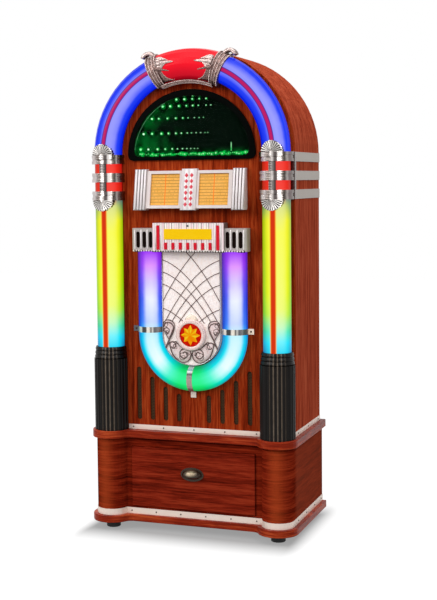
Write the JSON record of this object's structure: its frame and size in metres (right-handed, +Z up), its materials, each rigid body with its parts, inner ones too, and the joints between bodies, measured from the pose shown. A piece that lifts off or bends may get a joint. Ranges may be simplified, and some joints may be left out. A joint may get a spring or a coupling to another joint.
{
  "type": "jukebox",
  "caption": "Arched cabinet jukebox with light-tube columns and arch, grille with U tube, hinged title panel over a disc deck, on a drawer stand.",
  "frame": {"origin": "floor point under the centre of the whole, between front and rear of the plinth", "axes": "+Z up, +X to the right as seen from in front, +Y from the front to the back: the front looks along -Y"},
  "size_m": [0.616, 0.3786, 1.3745],
  "materials": {
    "cabinet_wood": "clear lacquered red-brown veneer, satin to gloss",
    "drawer_wood": "plain sanded wood",
    "board_dark": "painted dark board",
    "pale_metal": "satin",
    "chrome": "polished",
    "pewter": "antique silver, polished high spots",
    "strap_metal": "warm grey satin",
    "brass": "antiqued dark",
    "black_gloss": "gloss black",
    "rubber": "matt black",
    "tube_lime": "translucent, lit from inside",
    "tube_blue": "translucent, lit from inside",
    "tube_cyan": "translucent, lit from inside",
    "crown_red": "translucent, lit from inside",
    "glass": "clear dark tinted",
    "mirror_green": "mirror box with green lights",
    "ivory": "gloss ivory",
    "card": "printed card left plain amber",
    "deck_black": "satin black",
    "motor": "plain",
    "knob": "turned",
    "cloth": "cream speaker cloth on board",
    "lens_red": "domed lens with star",
    "sign": "yellow plate left bare",
    "key_red": "gloss red",
    "speaker": "black cone and frame",
    "amplifier": "black"
  },
  "bodies": {
    "cabinet": {"foot_front_left": "rubber", "foot_front_right": "rubber", "foot_rear_left": "rubber", "foot_rear_right": "rubber", "plinth_board": "cabinet_wood", "stand_top_board": "cabinet_wood", "stand_carcass": "cabinet_wood", "cabinet_shell": "cabinet_wood", "front_panel": "cabinet_wood", "drawer_runner": "drawer_wood", "rear_cover": "board_dark", "speaker_baffle": "board_dark", "stand_trim_strip": "pale_metal", "foot_strip_front": "pale_metal", "foot_strip_left": "pale_metal", "foot_strip_right": "pale_metal", "amplifier_module": "amplifier", "speaker_left": "speaker", "column_base_left": "black_gloss", "column_tube_left": "tube_lime", "column_collar_left": "chrome", "side_straps_left": "strap_metal", "u_band_left": "chrome", "speaker_right": "speaker", "column_base_right": "black_gloss", "column_tube_right": "tube_lime", "column_collar_right": "chrome", "side_straps_right": "strap_metal", "u_band_right": "chrome", "u_band_bottom": "chrome", "arch_tube": "tube_blue", "arch_crown": "crown_red", "crown_casting": "pewter", "window_bezel": "black_gloss", "window_glass": "glass", "window_light_box": "mirror_green", "disc_deck": "deck_black", "spindle_motor": "motor", "u_tube": "tube_cyan", "grille_board": "cloth", "grille_casting": "pewter", "medallion_lens": "lens_red", "console_body": "ivory", "console_sign": "sign"},
    "drawer": {"drawer_box": "drawer_wood", "drawer_front": "cabinet_wood", "cup_pull": "brass"},
    "title_panel": {"title_door": "ivory", "title_card_sheet": "card"},
    "hub": {"spindle_hub": "deck_black"},
    "sled": {"pickup_sled": "deck_black"},
    "volume": {"volume_knob": "knob"},
    "tuning": {"tuning_knob": "knob"},
    "key_1": {"selector_key_1": "key_red"},
    "key_2": {"selector_key_2": "key_red"},
    "key_3": {"selector_key_3": "key_red"},
    "key_4": {"selector_key_4": "key_red"},
    "key_5": {"selector_key_5": "key_red"},
    "key_6": {"selector_key_6": "key_red"},
    "key_7": {"selector_key_7": "key_red"}
  },
  "joints": [
    {"name": "drawer_slide", "type": "slide", "parent": "cabinet", "child": "drawer", "axis": [0, -1, 0], "range_m": [0, 0.19]},
    {"name": "title_panel_hinge", "type": "hinge", "parent": "cabinet", "child": "title_panel", "pos_m": [0, -0.1298, 0.9305], "axis": [1, 0, 0], "range_deg": [0, 80]},
    {"name": "hub_spin", "type": "hinge", "parent": "cabinet", "child": "hub", "pos_m": [0, -0.0107, 0.9396], "axis": [0, 0, 1], "continuous": true},
    {"name": "pickup_slide", "type": "slide", "parent": "cabinet", "child": "sled", "axis": [1, 0, 0], "range_m": [0, 0.031]},
    {"name": "volume_turn", "type": "hinge", "parent": "cabinet", "child": "volume", "pos_m": [-0.122, -0.1027, 0.9874], "axis": [0, -1, 0], "range_deg": [-135, 135]},
    {"name": "tuning_turn", "type": "hinge", "parent": "cabinet", "child": "tuning", "pos_m": [0.122, -0.1027, 0.9874], "axis": [0, -1, 0], "continuous": true},
    {"name": "key_1_press", "type": "slide", "parent": "cabinet", "child": "key_1", "axis": [0, 1, 0], "range_m": [0, 0.0025], "stiffness_N_per_m": 300},
    {"name": "key_2_press", "type": "slide", "parent": "cabinet", "child": "key_2", "axis": [0, 1, 0], "range_m": [0, 0.0025], "stiffness_N_per_m": 300},
    {"name": "key_3_press", "type": "slide", "parent": "cabinet", "child": "key_3", "axis": [0, 1, 0], "range_m": [0, 0.0025], "stiffness_N_per_m": 300},
    {"name": "key_4_press", "type": "slide", "parent": "cabinet", "child": "key_4", "axis": [0, 1, 0], "range_m": [0, 0.0025], "stiffness_N_per_m": 300},
    {"name": "key_5_press", "type": "slide", "parent": "cabinet", "child": "key_5", "axis": [0, 1, 0], "range_m": [0, 0.0025], "stiffness_N_per_m": 300},
    {"name": "key_6_press", "type": "slide", "parent": "cabinet", "child": "key_6", "axis": [0, 1, 0], "range_m": [0, 0.0025], "stiffness_N_per_m": 300},
    {"name": "key_7_press", "type": "slide", "parent": "cabinet", "child": "key_7", "axis": [0, 1, 0], "range_m": [0, 0.0025], "stiffness_N_per_m": 300}
  ]
}
